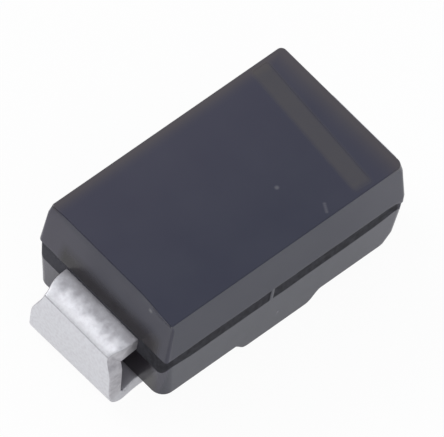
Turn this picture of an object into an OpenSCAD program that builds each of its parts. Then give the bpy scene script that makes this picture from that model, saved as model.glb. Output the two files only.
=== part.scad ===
// Surface-mount fast recovery diode in a moulded package with two folded terminals.
// Millimetres, +Z up. The origin is the centre of the footprint, on the board.
// +X points to the cathode, the end with the band on its top face.

/* [Moulded body] */
// Length of the body at the foot of its upper half
body_length = 4.26; // [4.00:0.01:4.60]
// Width of the body at the foot of its upper half
body_width = 2.55; // [2.30:0.01:2.90]
// Height of the upper half, from its foot to the top face
upper_height = 0.79; // [0.65:0.01:0.95]
// Height of the recessed band where the two halves of the mould met
parting_height = 0.245; // [0.16:0.005:0.30]
// How far the parting band is set back from the upper half
parting_recess = 0.03; // [0.01:0.005:0.05]
// How far the lower half is set back from the upper half
lower_setback = 0.01; // [0.005:0.005:0.03]
// How far the lower half reaches up past the underside of the terminals
lower_lap = 0.095; // [0.02:0.005:0.15]
// Slope of the upper half's sides, in degrees from upright
upper_draft = 6.9; // [3:0.1:9]
// Slope of the lower half's sides, in degrees from upright
lower_draft = 4; // [2:0.1:7]
// Corner radius at the foot of the upper half
upper_corner = 0.16; // [0.15:0.01:0.24]
// Corner radius at the rim of the lower half
lower_corner = 0.22; // [0.16:0.01:0.30]

/* [Underside] */
// Length of the flat of the raised pad under the middle of the body
pad_length = 1.16; // [0.80:0.01:1.40]
// Length of the slope at each end of the raised pad
pad_slope = 0.25; // [0.10:0.01:0.35]
// Height of the raised pad above the board
pad_clearance = 0.055; // [0.02:0.005:0.12]

/* [Cathode band] */
// Width of the band
band_width = 0.27; // [0.15:0.01:0.40]
// Distance from the cathode edge of the top face to the middle of the band
band_inset = 0.55; // [0.40:0.01:0.80]
// Distance from the band's ends to the long edges of the top face
band_margin = 0.10; // [0.05:0.01:0.30]
// How far the band is turned from square, in degrees
band_skew = 5; // [0:0.5:8]
// Depth of the band below the top face
band_depth = 0.015; // [0.005:0.005:0.03]

/* [Terminals] */
// How far each terminal stands out past the end of the body
terminal_reach = 0.48; // [0.42:0.005:0.60]
// Width of the terminal strip
terminal_width = 1.53; // [1.40:0.01:1.65]
// Thickness of the terminal strip
strip_thickness = 0.23; // [0.16:0.01:0.26]
// Height of the terminal's upper face where it leaves the body
terminal_height = 1.08; // [0.98:0.01:1.20]
// Outer radius of the upper fold in each terminal
upper_fold = 0.31; // [0.27:0.01:0.36]
// Outer radius of the lower fold in each terminal
lower_fold = 0.27; // [0.27:0.01:0.34]
// Length of the foot, from the terminal's outer face to its tip
foot_length = 1.22; // [0.80:0.01:1.40]
// Gap between the foot and the end of the body above it
foot_clearance = 0.015; // [0.005:0.005:0.04]

/* [Inside the body] */
// Side of the square silicon chip
chip_side = 1.30; // [1.00:0.01:1.38]
// Thickness of the silicon chip
chip_thickness = 0.24; // [0.18:0.01:0.30]
// Thickness of the solder on each face of the chip
solder_thickness = 0.04; // [0.02:0.005:0.06]
// How far the solder stays back from the edge of the chip
solder_margin = 0.05; // [0.02:0.01:0.10]
// How far each strip stops short of the chip's far edge
strip_setback = 0.03; // [0.01:0.01:0.06]
// How far past the chip's near edge each strip stays level
level_run = 0.20; // [0.10:0.01:0.25]
// Length over which each strip steps between the chip and its way out
step_run = 0.40; // [0.30:0.01:0.45]

/* [Hidden] */

epoxy_colour = "#40434e";
tin_colour = "#c9cad0";
silicon_colour = "#5a5d66";
solder_colour = "#a9abb0";
corner_facets = 32;
arc_facets = 96;
cut_margin = 0.1;

strip_mid = terminal_height - strip_thickness/2;
strip_under = terminal_height - strip_thickness;
outer_x = body_length/2 + terminal_reach;
foot_tip = outer_x - foot_length;

lower_rim = strip_under + lower_lap;
upper_foot = lower_rim + parting_height;
top_z = upper_foot + upper_height;
end_z = strip_thickness + foot_clearance;

upper_slope_in = upper_height*tan(upper_draft);
lower_slope_in = (lower_rim - pad_clearance)*tan(lower_draft);
top_length = body_length - 2*upper_slope_in;
top_width = body_width - 2*upper_slope_in;

solder_side = chip_side - 2*solder_margin;
strip_offset = chip_thickness/2 + solder_thickness + strip_thickness/2;
strip_tip = chip_side/2 - strip_setback;
step_start = chip_side/2 + level_run;
step_end = step_start + step_run;

// A block with rounded corners whose sides slope by the difference of its two corner radii.
module tapered_block(length, width, height, corner_low, corner_high) {
    corner = max(corner_low, corner_high);
    hull()
        for (x = [-1, 1], y = [-1, 1])
            translate([x*(length/2 - corner), y*(width/2 - corner), 0])
                cylinder(h = height, r1 = corner_low, r2 = corner_high, $fn = corner_facets);
}

module upper_half() {
    translate([0, 0, upper_foot])
        tapered_block(body_length, body_width, upper_height, upper_corner, upper_corner - upper_slope_in);
}

module parting_band() {
    length = body_length - 2*parting_recess;
    width = body_width - 2*parting_recess;
    translate([0, 0, lower_rim])
        tapered_block(length, width, parting_height, lower_corner, lower_corner);
}

// The room above a foot: everything below the body's end, outside the raised pad.
module foot_room() {
    translate([0, body_width/2 + cut_margin, 0])
        rotate([90, 0, 0])
            linear_extrude(body_width + 2*cut_margin)
                polygon([
                    [pad_length/2, pad_clearance - cut_margin],
                    [pad_length/2, pad_clearance],
                    [pad_length/2 + pad_slope, end_z],
                    [outer_x, end_z],
                    [outer_x, pad_clearance - cut_margin]
                ]);
}

module lower_half() {
    length = body_length - 2*lower_setback;
    width = body_width - 2*lower_setback;
    height = lower_rim - pad_clearance;
    difference() {
        translate([0, 0, pad_clearance])
            tapered_block(length, width, height, lower_corner - lower_slope_in, lower_corner);
        foot_room();
        mirror([1, 0, 0])
            foot_room();
    }
}

module cathode_band() {
    length = (top_width - 2*band_margin)/cos(band_skew);
    translate([top_length/2 - band_inset, 0, top_z - band_depth])
        rotate([0, 0, -band_skew])
            translate([-band_width/2, -length/2, 0])
                cube([band_width, length, band_depth + cut_margin]);
}

// A quarter of a ring in the +X +Y quadrant: the side view of one fold.
module fold(radius) {
    intersection() {
        difference() {
            circle(r = radius, $fn = arc_facets);
            circle(r = radius - strip_thickness, $fn = arc_facets);
        }
        square(radius);
    }
}

// Side view of the terminal on the +X side.
// Level is 1 for a strip above the chip and -1 for one below it.
module terminal_profile(level) {
    chip_z = strip_mid + level*strip_offset;
    half = strip_thickness/2;
    upper_x = outer_x - upper_fold;
    lower_x = outer_x - lower_fold;
    polygon([
        [-strip_tip, chip_z - half],
        [step_start, chip_z - half],
        [step_end, strip_under],
        [upper_x, strip_under],
        [upper_x, terminal_height],
        [step_end, terminal_height],
        [step_start, chip_z + half],
        [-strip_tip, chip_z + half]
    ]);
    translate([upper_x, terminal_height - upper_fold])
        fold(upper_fold);
    translate([outer_x - strip_thickness, lower_fold])
        square([strip_thickness, terminal_height - upper_fold - lower_fold]);
    translate([lower_x, lower_fold])
        mirror([0, 1])
            fold(lower_fold);
    translate([foot_tip, 0])
        square([lower_x - foot_tip, strip_thickness]);
}

module terminal(level) {
    translate([0, terminal_width/2, 0])
        rotate([90, 0, 0])
            linear_extrude(terminal_width)
                terminal_profile(level);
}

module solder_layer(level) {
    z = strip_mid + level*(chip_thickness + solder_thickness)/2;
    translate([0, 0, z])
        cube([solder_side, solder_side, solder_thickness], center = true);
}

module anode_terminal() {
    color(tin_colour)
        mirror([1, 0, 0])
            terminal(1);
}

module cathode_terminal() {
    color(tin_colour)
        terminal(-1);
}

module silicon_chip() {
    color(silicon_colour)
        translate([0, 0, strip_mid])
            cube([chip_side, chip_side, chip_thickness], center = true);
}

module upper_solder() {
    color(solder_colour)
        solder_layer(1);
}

module lower_solder() {
    color(solder_colour)
        solder_layer(-1);
}

// The epoxy is moulded round everything inside it, so those pieces are its cavity.
module moulded_body() {
    color(epoxy_colour)
        difference() {
            union() {
                upper_half();
                parting_band();
                lower_half();
            }
            cathode_band();
            anode_terminal();
            cathode_terminal();
            silicon_chip();
            upper_solder();
            lower_solder();
        }
}

moulded_body();
anode_terminal();
cathode_terminal();
silicon_chip();
upper_solder();
lower_solder();
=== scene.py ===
"""Looks of a surface-mount fast recovery diode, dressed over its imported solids.

Each piece has an operator of its own, and main() calls them in order. A mesh is drawn in
millimetres, where the bevels and cuts work well above their tolerances, and comes to metres
when it is finished.
"""

import math
from collections import namedtuple
from types import SimpleNamespace

import bmesh
import bpy
from bpy.props import FloatProperty, FloatVectorProperty, PointerProperty
from bpy.types import Operator, Panel, PropertyGroup
from mathutils import Matrix, Vector, noise


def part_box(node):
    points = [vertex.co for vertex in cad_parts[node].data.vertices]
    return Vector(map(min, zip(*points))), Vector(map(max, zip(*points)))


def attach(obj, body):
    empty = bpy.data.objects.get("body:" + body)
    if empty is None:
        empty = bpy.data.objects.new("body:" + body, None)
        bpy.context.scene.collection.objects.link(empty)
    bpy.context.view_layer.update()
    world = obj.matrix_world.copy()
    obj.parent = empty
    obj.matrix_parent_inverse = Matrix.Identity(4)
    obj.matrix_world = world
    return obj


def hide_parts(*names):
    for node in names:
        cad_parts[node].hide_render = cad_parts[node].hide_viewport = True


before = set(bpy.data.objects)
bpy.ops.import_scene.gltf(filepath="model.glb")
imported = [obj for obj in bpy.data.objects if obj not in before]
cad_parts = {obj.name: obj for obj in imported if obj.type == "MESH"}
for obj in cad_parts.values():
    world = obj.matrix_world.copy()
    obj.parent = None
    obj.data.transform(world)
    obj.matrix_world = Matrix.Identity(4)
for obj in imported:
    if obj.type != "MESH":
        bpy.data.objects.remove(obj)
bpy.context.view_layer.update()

bl_info = {
    "name": "Surface-mount diode",
    "version": (1, 0, 0),
    "blender": (4, 5, 0),
    "location": "3D View > Sidebar > Diode",
    "description": "Builds a moulded surface-mount diode with folded terminals on a white stage",
    "category": "Object",
}

MM = 0.001
BODY_LOW, BODY_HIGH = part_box("moulded_body")
_, ANODE_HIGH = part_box("anode_terminal")
CATHODE_LOW, CATHODE_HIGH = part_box("cathode_terminal")

# Fineness of the meshes
CORNER_SEGMENTS = 8
SIDE_STATIONS = 26
END_STATIONS = 24
EDGE_SEGMENTS = 3
LIP_SEGMENTS = 2
TOP_SEGMENTS = 5
PAD_SEGMENTS = 5
BAND_CORNER_CUTS = 4
STRIP_ACROSS = 24
STRIP_THROUGH = 4
SLOPE_STEPS = 10
CREASE_STEPS = 4
FLARE_STEPS = 8
FOLD_STEPS = 14
RUN_STEPS = 8

# Millimetres within which points are merged, and within which they count as one place
WELD = 1e-5
NEAR = 1e-4

# Angles between two faces from which their edge is rounded, or stays sharp in the shading
UNDERSIDE_BEND = math.radians(12)
STRIP_END_BEND = math.radians(45)
SHARP_BEND = math.radians(50)

# Order of the body's and the terminals' material slots
EPOXY, PARTING = range(2)
ROLLED, SHEARED = range(2)

# Share of its normal that points across the strip, from which a face counts as sheared
SIDE_FACING = 0.4

# Radius of each corner over its outline's own corner radius, by the signs of X and Y
CROWN_CORNERS = {(-1, -1): 0.25, (1, -1): 1.25, (-1, 1): 0.5, (1, 1): 0.8}
SHOULDER_CORNERS = {(-1, -1): 0.35, (1, -1): 0.6, (-1, 1): 0.3, (1, 1): 0.8}
SKIRT_CORNERS = {(-1, -1): 0.35, (1, -1): 0.5, (-1, 1): 0.55, (1, 1): 0.8}
LIP_CORNERS = {(-1, -1): 0.35, (1, -1): 0.65, (-1, 1): 0.6, (1, 1): 0.8}
PARTING_CORNERS = {(-1, -1): 1.0, (1, -1): 0.1, (-1, 1): 0.2, (1, 1): 0.8}
RIM_CORNERS = {(-1, -1): 0.75, (1, -1): 0.6, (-1, 1): 0.8, (1, 1): 0.8}
BELLY_CORNERS = {(-1, -1): 1.0, (1, -1): 0.65, (-1, 1): 0.8, (1, 1): 0.8}
BOTTOM_CORNERS = {(-1, -1): 1.0, (1, -1): 1.3, (-1, 1): 0.8, (1, 1): 0.8}

# Waves per millimetre, and their share of the flash, in the edges beside the parting band
FLASH_WAVES = ((2.6, 1.0), (7.3, 0.6))

# The lip sags over this many corner radii, and from this share of the half width outwards
SAG_CORNERS = 2
SAG_START = 0.3

# The lower rim's lift and the start of its dip, in corner radii past the end of the long side
LIFT_MIDDLE = 0.2
LIFT_SPREAD = 1.2
DIP_START = 0.3

# How late the terminals' upper faces turn down on their way to the crease
SLOPE_POWER = 1.5

# What each vertex of a strip knows: -1 to 1 across it, 0 to 1 from its inside out, and millimetres along it
STRIP_LAYERS = ("across", "outward", "along")

# Sockets of a Mix node that mixes colours
MIX_FIRST, MIX_SECOND, MIX_RESULT = 6, 7, 2

# Spans of the noise within which a value wanders, and within which a tone comes in patches
WANDER_SPAN = (0.30, 0.70)
PATCH_SPAN = (0.35, 0.65)
TIN_PATCH_SPAN = (0.30, 0.60)
SHEARED_PATCH_SPAN = (0.30, 0.65)

Outline = namedtuple("Outline", "length width corner corners z")
Ring = namedtuple("Ring", "outer inner along")
Ramp = namedtuple("Ramp", "axis low high start end")
Lamp = namedtuple("Lamp", "name setting toward away side")

# Where the epoxy changes: from low to high, in millimetres, each value goes from start to end
END_OUTSIDE = Ramp("X", -2.04, -2.02, 1, 0)
END_BELOW_RIM = Ramp("Z", 1.93, 1.96, 1, 0)
LOWER_HALF = Ramp("Z", 0.95, 1.10, 1, 0)
# Painted light: the epoxy pales where it should reflect brighter floor and sky
LIGHT_FAR = Ramp("Y", -0.8, 1.0, 0, 0.25)
LIGHT_AHEAD = Ramp("X", 0.6, 1.6, 0, 0.15)
LIGHT_LOWER_AHEAD = Ramp("X", 1.2, 2.1, 0, 0.4)
LIGHT_END = Ramp("Y", 0.2, 1.2, 0.25, 0.8)
# Painted shade on the anode end, over the strip
END_SHADE_HEIGHT = Ramp("Z", 1.36, 1.60, 1, 0)
# Painted highlight along the far rim and the cathode rim of the top face
RIM_END = Ramp("X", 1.62, 1.95, 0, 1)
RIM_SIDE = Ramp("Y", 0.95, 1.14, 0, 1)
RIM_TOP = Ramp("Z", 1.92, 1.97, 0, 1)
# Painted light in the parting band on the anode end
LIT_END = Ramp("X", -2.09, -2.05, 1, 0)
LIT_FAR = Ramp("Y", -0.9, -0.4, 0, 1)
# Painted reflection where flash fills the parting band at the near cathode corner
FILLED_AHEAD = Ramp("X", 1.99, 2.07, 0, 1)
FILLED_NEAR = Ramp("Y", -1.0, -0.8, 1, 0)

# How much more painted light the lower half has on the anode end
LIGHT_LOWER_END = 0.25

# Middle of the painted shade over the strip, across the body, and how far from there it is full and gone
END_SHADE_MIDDLE = -0.12
END_SHADE_FULL, END_SHADE_GONE = 0.90, 1.02

# How far below the top face the cathode band's colour is still full, and where it is gone
BAND_FULL, BAND_GONE = 0.01, 0.02

# Tones of one finish, over its own colour; the parting band's lit tone is painted light on the anode end, and
# its tone where flash fills it a painted reflection
PARTING_DEEP, PARTING_LIT, PARTING_FILLED_REFLECTION = 0.6, 1.6, 2.6
SILICON_PALE = 1.4
SOLDER_DULL = 0.7

# The specks of dust: the setting that holds each one's place, its radius in millimetres and its thickness
DUST_SPECKS = (("edge_dust", 0.045, 0.8), ("top_dust", 0.042, 0.45), ("side_dust", 0.035, 0.5))

# Share of a speck's radius that has its full thickness
DUST_CORE = 0.3

# The dash of dust: the way from its middle to its end, and the specks that it is a row of
DASH_HALF = (0.030, 0.056, 0)
DASH_STEPS = (-1, -0.5, 0, 0.5, 1)
DASH_RADIUS = 0.032
DASH_THICKNESS = 0.30

# Where the tin changes along the strip, in millimetres past the crease, through it and across it
FROST_SPAN = (-0.34, -0.02)
# The next two spans lay painted shade on the tin beside the body, on its flat and its sheared sides
ROOT_SHADE_SPAN = (-0.54, -0.12)
SIDE_SHADE_SPAN = (-0.10, 0)
BRIGHT_SPAN = (0.70, 0.90)
INSIDE_SPAN = (0.1, 0.3)
EDGE_SPAN = (0.85, 1)

# How ragged the edges of frost and of the painted shade beside the body are, and how far that shade's edge
# slants through the strip
RAGGED = 0.09
SIDE_SHADE_SLANT = 0.38

# Strength of the frost inside the folds, and of the painted shade there at the strip's middle and at its
# edges
INSIDE_FROST = 0.75
INSIDE_SHADE_MIDDLE, INSIDE_SHADE_EDGE = 1.33, 0.6

# The lamps: the setting that holds each one's light, and its direction, distance and side in metres
LAMPS = (
    Lamp("key_lamp", "key", (-0.10, 0.75, 0.65), 0.25, 0.12),
    Lamp("top_lamp", "top", (-0.30, 0.37, 0.88), 0.20, 0.13),
    Lamp("fill_lamp", "fill", (-0.40, -0.57, 0.72), 0.25, 0.20),
)

# The sky: its brightest direction, the cosines from there at which it is darkest and brightest, its tint
SKY_BRIGHTEST = (0.85, 0, 0.53)
SKY_SPAN = (-0.10, 0.85)
SKY_TINT = (0.97, 0.98, 1.03)

# The floor's own colour, and what the camera and reflections see of it
FLOOR_COLOUR = (0.9, 0.9, 0.9)
WHITE = (1, 1, 1)

# The camera: its sensor in millimetres, and the nearest and furthest that it sees, over its range
SENSOR = 36
CLIP_NEAREST, CLIP_FURTHEST = 0.05, 10


def distance(name, description, metres):
    """A length that the sidebar shows in the scene's units."""
    return FloatProperty(name=name, description=description, default=metres, unit="LENGTH", precision=6)


def angle(name, description, degrees):
    """An angle that the sidebar shows in degrees."""
    return FloatProperty(name=name, description=description, default=math.radians(degrees), subtype="ANGLE")


def share(name, description, default):
    """A plain number from nothing to one."""
    return FloatProperty(name=name, description=description, default=default, min=0, max=1, subtype="FACTOR")


def colour(name, description, default):
    """A colour, as linear red, green and blue."""
    return FloatVectorProperty(name=name, description=description, default=default, size=3, min=0, max=1,
                               subtype="COLOR")


def place(name, description, default):
    """A point in the part's own frame."""
    return FloatVectorProperty(name=name, description=description, default=default, size=3, precision=6,
                               unit="LENGTH", subtype="XYZ")


class DiodeBodySizes(PropertyGroup):
    """Sizes of the moulded body"""

    length: distance("Length", "Length at the foot of the upper half", BODY_HIGH.x - BODY_LOW.x)
    width: distance("Width", "Width at the foot of the upper half", BODY_HIGH.y - BODY_LOW.y)
    top: distance("Top", "Height of the top face", BODY_HIGH.z)
    upper_foot: distance("Upper foot", "Height of the foot of the upper half", 1.20*MM)
    lower_rim: distance("Lower rim", "Height of the rim of the lower half", 0.96*MM)
    end: distance("End underside", "Height of the underside at the ends", 0.245*MM)
    pad: distance("Pad underside", "Height of the raised pad under the middle", BODY_LOW.z)
    pad_length: distance("Pad length", "Length of the flat of the raised pad", 1.16*MM)
    pad_slope: distance("Pad slope", "Length of the slope at each end of the pad", 0.25*MM)
    lower_setback: distance("Lower setback", "How far the lower half stands back from the upper", 0.01*MM)
    recess: distance("Parting recess", "How far the parting band stands back from the upper half", 0.03*MM)
    shoulder: distance("Shoulder", "How far below the top face its corners start to round off", 0.14*MM)
    belly: distance("Belly", "How far above the ends' underside its corners start to round off", 0.18*MM)
    skirt: distance("Skirt", "How far above the foot of the upper half its corners start to draw in", 0.05*MM)
    lip_sag: distance("Lip sag", "How far the lip hangs lower at the near cathode corner", 0.11*MM)
    ahead: distance("Top ahead", "How far the top face is off the middle, towards the cathode end", 0.0075*MM)
    nearer: distance("Top nearer", "How far the top face is off the middle, towards the near side", 0.009*MM)
    corner_pull: distance("Corner pull", "How far the top's near anode corner is pulled out", 0.045*MM)
    corner_reach: distance("Corner reach", "Length over which the end edge runs out to that corner", 0.70*MM)
    far_pull: distance("Far pull", "How far the top's far anode corner is pulled out", 0.018*MM)
    far_bulge: distance("Far bulge", "How far the shoulder below the far anode corner bulges out", 0.04*MM)
    far_reach: distance("Far reach", "Length over which the end runs out to the far anode corner", 0.25*MM)
    top_corner: distance("Top corner", "Corner radius of the top face", 0.10*MM)
    upper_corner: distance("Upper corner", "Corner radius at the foot of the upper half", 0.13*MM)
    lower_corner: distance("Lower corner", "Corner radius of the lower half", 0.19*MM)
    top_edge: distance("Top edge", "Rounding of the rim of the top face", 0.018*MM)
    lip_edge: distance("Lip edge", "Rounding of the edges beside the parting band", 0.008*MM)
    pad_edge: distance("Pad edge", "Rounding of the bends at the slopes of the raised pad", 0.07*MM)
    bottom_edge: distance("Bottom edge", "Rounding of the edges of the underside", 0.008*MM)
    flash: distance("Flash", "How far the edges beside the parting band wander", 0.009*MM)
    rim_lift: distance("Rim lift", "How far the lower rim stands up before the corners", 0.045*MM)
    rim_dip: distance("Rim dip", "How far lower the lower rim runs across the ends", 0.08*MM)
    nib: distance("Gate nib", "Width of the gate nib in the parting band", 0.055*MM)
    nib_side: distance("Gate nib side", "Width of the slope at each side of the gate nib", 0.02*MM)
    nib_x: distance("Gate nib place", "Where along the side the gate nib stands", -0.228*MM)
    nib_out: distance("Gate nib depth", "How far the gate nib stands out of the parting band", 0.026*MM)
    band_width: distance("Band width", "Width of the cathode band", 0.285*MM)
    band_x: distance("Band place", "Where along the top the middle of the band lies", 1.473*MM)
    band_margin: distance("Band margin", "Distance from the band's ends to the long edges", 0.08*MM)
    band_depth: distance("Band depth", "Depth of the band below the top face", 0.002*MM)
    band_fade: distance("Band fade", "Width of the soft long edges of the band's colour", 0.08*MM)
    band_end_fade: distance("Band end fade", "Width of the soft ends of the band's colour", 0.12*MM)
    band_corner: distance("Band corner", "Corner radius of the band", 0.05*MM)
    side_draft: angle("Side draft", "Slope of the upper half's long sides", 4.9)
    end_draft: angle("End draft", "Slope of the upper half's ends", 7.5)
    lower_side_draft: angle("Lower side draft", "Slope of the lower half's long sides", 3.2)
    lower_end_draft: angle("Lower end draft", "Slope of the lower half's ends", 4.5)
    band_skew: angle("Band skew", "How far the band is turned from square", 4.6)


class DiodeTerminalSizes(PropertyGroup):
    """Sizes of the two folded terminals"""

    outer: distance("Outer face", "Distance from the middle to the outer face", CATHODE_HIGH.x)
    width: distance("Width", "Width of the strip", CATHODE_HIGH.y - CATHODE_LOW.y)
    height: distance("Height", "Height of the upper face on its way out, inside the body", CATHODE_HIGH.z)
    thickness: distance("Thickness", "Thickness of the strip", 0.23*MM)
    rise: distance("Rise", "How much higher it leaves the body than it runs inside", 0.03*MM)
    slope: distance("Slope", "Length of the upper face from the body to the crease", 0.43*MM)
    crease: distance("Crease", "Outer radius of the crease in the upper fold", 0.015*MM)
    flare: distance("Flare", "Length over which the outer face comes upright below the crease", 0.36*MM)
    lower_fold: distance("Lower fold", "Outer radius of the lower fold", 0.23*MM)
    inner_fold: distance("Inner fold", "Inner radius of the lower fold", 0.04*MM)
    pinch: distance("Pinch", "How much thinner the strip is pressed in the corner of the lower fold", 0.09*MM)
    pinch_run: distance("Pinch run", "Length over which the foot regains its thickness", 0.22*MM)
    tuck: distance("Tuck", "How far the outer face leans in towards the lower fold", 0.004*MM)
    foot: distance("Foot", "Length of the foot from the outer face", 1.22*MM)
    inner_tip: distance("Inner tip", "How far the strip reaches past the middle", -CATHODE_LOW.x)
    chip_level: distance("Chip level", "Height of the strip over the chip, to its upper face", ANODE_HIGH.z)
    step_start: distance("Step start", "Where the strip starts to step away from the chip", 0.85*MM)
    step_end: distance("Step end", "Where the strip is level with its way out", 1.25*MM)
    neck_pull: distance("Neck pull", "How far each edge of the upper end is drawn in", 0.050*MM)
    crease_pull: distance("Crease pull", "How much further each end of the crease is drawn in", 0.08*MM)
    crease_reach: distance("Crease reach", "How far from the crease its ends' pull is felt", 0.18*MM)
    far_ease: share("Far ease", "How fast the far edge widens below the crease, beside the near one", 0.69)
    swelling: distance("Swelling", "How much each edge of the lower fold is squeezed out", 0.03*MM)
    far_swelling: distance("Far swelling", "Where below the crease the far edge swells", 0.22*MM)
    near_swelling: distance("Near swelling", "Where below the crease the near edge swells", 0.60*MM)
    swelling_run: distance("Swelling run", "Length over which the edges swell and come back", 0.30*MM)
    skew: distance("Skew", "How far back the lower fold's near end stands from its far end", 0.036*MM)
    edge: distance("Edge", "Rounding of the strip's long edges", 0.022*MM)
    slope_start: angle("Slope at the body", "How far the upper face is turned down at the body", 6)
    slope_end: angle("Slope at the crease", "How far the upper face has turned down at the crease", 30)
    flare_start: angle("Flare at the crease", "How far the outer face is turned down below the crease", 73)


class DiodeFinish(PropertyGroup):
    """Colours of the pieces and the places of the dust on them"""

    epoxy_dark: colour("Epoxy, dark", "Darker tone of the moulded epoxy", (0.021, 0.0235, 0.049))
    epoxy_light: colour("Epoxy, light", "Lighter tone of the moulded epoxy", (0.026, 0.029, 0.054))
    # Painted light: a paler tone that stands in for brighter light and reflections
    painted_light: colour("Haze", "Paler epoxy, towards which it changes across the part", (0.080, 0.072, 0.105))
    # Painted highlight: a brown tone added along the far rims of the top face
    rim: colour("Rim", "Brown tone added along the far rims of the top face", (0.033, 0.025, 0.007))
    parting: colour("Parting band", "Bare epoxy in the parting band", (0.050, 0.050, 0.060))
    mark: colour("Cathode band", "Scorched epoxy of the cathode band", (0.055, 0.052, 0.0605))
    tin: colour("Tin", "Matte tin of the terminals", (0.79, 0.795, 0.83))
    tin_dull: colour("Dull tin", "Tin in the hollows of its grain", (0.72, 0.715, 0.75))
    sheared: colour("Sheared tin", "Tin over the sheared sides of the strip", (0.66, 0.65, 0.68))
    sheared_dull: colour("Dull sheared tin", "Tin in the hollows of the sheared sides", (0.52, 0.51, 0.54))
    # Painted shade: tin darkened beside the body, where the body shades it
    tin_root: colour("Tin at the root", "Tin stained by resin beside the body", (0.56, 0.55, 0.58))
    # Painted shade: tin darkened inside the folds, where little light reaches
    tin_inside: colour("Tin inside", "Tin dulled by flux inside the folds of the strips", (0.55, 0.54, 0.59))
    # Painted shade: a dark tone that stands in for the end face's dark reflection of the strip
    painted_end_shade: colour("Smear", "Dark resin on the anode end, over the strip", (0.016, 0.012, 0.016))
    dust: colour("Dust", "Pale dust caught on the epoxy", (0.20, 0.20, 0.22))
    silicon: colour("Silicon", "Diced silicon", (0.10, 0.105, 0.12))
    solder: colour("Solder", "Dull solder beside the chip", (0.40, 0.41, 0.43))
    edge_dust: place("Edge dust", "Speck over the anode terminal", (-2.050*MM, -0.79*MM, 1.835*MM))
    top_dust: place("Top dust", "Speck on the top face", (0.473*MM, -0.441*MM, 1.98*MM))
    rim_dust: place("Rim dust", "Middle of the dash by the near rim", (0.765*MM, -1.077*MM, 1.98*MM))
    side_dust: place("Side dust", "Speck on the lower half", (-0.04*MM, -1.23*MM, 0.43*MM))


class DiodeStage(PropertyGroup):
    """The camera, the floor and the light"""

    azimuth: angle("Azimuth", "Camera's turn round the part", -49.25)
    elevation: angle("Elevation", "Camera's height above the horizon", 56.08)
    roll: angle("Roll", "Camera's tilt to the side", -9.07)
    range: distance("Range", "Distance from the camera to the part", 185*MM)
    picture: distance("Picture width", "Width that the picture covers at the part", 5.85*MM)
    aim: place("Aim", "Point of the part that the framing starts from", (0, 0, 1.0*MM))
    aside: distance("Aside", "Shift of the camera to its right", 0.0107*MM)
    above: distance("Above", "Shift of the camera upwards in the picture", 0.0904*MM)
    floor: distance("Floor", "Side of the floor", 0.6)
    white: share("White floor", "How much of the floor that the camera sees is plain white", 0.95)
    mirrored: share("Mirrored floor", "How much of the floor that reflections see is plain white", 0.48)
    horizon: share("Horizon", "Brightness of the studio at its darkest", 0.14)
    sky: share("Sky", "Brightness of the studio over the cathode end", 0.72)
    key: share("Key lamp", "Light of the soft lamp beyond the far side", 0.35)
    top: share("Top lamp", "Light of the soft lamp above the far anode corner", 0.08)
    fill: share("Fill lamp", "Light of the soft lamp over the near anode corner", 0.22)


def own_properties(group):
    """The properties that a group's class declares."""
    return [prop for prop in group.bl_rna.properties if prop.identifier not in ("rna_type", "name")]


def millimetres(group):
    """The lengths of a property group in millimetres, with its other numbers as they are."""
    values = {}
    for prop in own_properties(group):
        value = getattr(group, prop.identifier)
        values[prop.identifier] = value/MM if prop.unit == "LENGTH" and not prop.is_array else value
    return SimpleNamespace(**values)


# Mesh work shared by the pieces


def smooth_step(low, high, value):
    """Rises from 0 at low to 1 at high, without corners."""
    share_done = min(1, max(0, (value - low)/(high - low)))
    return share_done*share_done*(3 - 2*share_done)


def swell(middle, spread_out, value):
    """A bell that is 1 at its middle."""
    return math.exp(-((value - middle)/spread_out)**2)


def bevel_edges(bm, edges, offset, segments=EDGE_SEGMENTS):
    """Rounds edges with plain circular profiles."""
    bmesh.ops.bevel(
        bm, geom=edges, offset=offset, offset_type="OFFSET", segments=segments, profile=0.5,
        affect="EDGES", material=-1,
    )


def cut_flat(bm, faces, point, direction):
    """Cuts flat faces along a plane that stands on them."""
    geom = dict.fromkeys(item for face in faces for item in (face, *face.edges, *face.verts))
    bmesh.ops.bisect_plane(bm, geom=list(geom), dist=NEAR, plane_co=point, plane_no=direction)


def flat_faces(bm, z):
    """The level faces at one height."""
    return [face for face in bm.faces if all(abs(vert.co.z - z) < NEAR for vert in face.verts)]


def press_on(bm, faces, matrix):
    """Extrudes faces and carries the new end through one move. Returns the new end's faces.

    The faces themselves go, unless they are the open start of a piece, which they close.
    """
    region = set(faces)
    inside = any(other not in region for face in faces for edge in face.edges for other in edge.link_faces)
    made = bmesh.ops.extrude_face_region(bm, geom=faces)["geom"]
    verts = [item for item in made if isinstance(item, bmesh.types.BMVert)]
    bmesh.ops.transform(bm, matrix=matrix, verts=verts)
    if inside:
        bmesh.ops.delete(bm, geom=faces, context="FACES")
    return [item for item in made if isinstance(item, bmesh.types.BMFace)]


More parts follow.
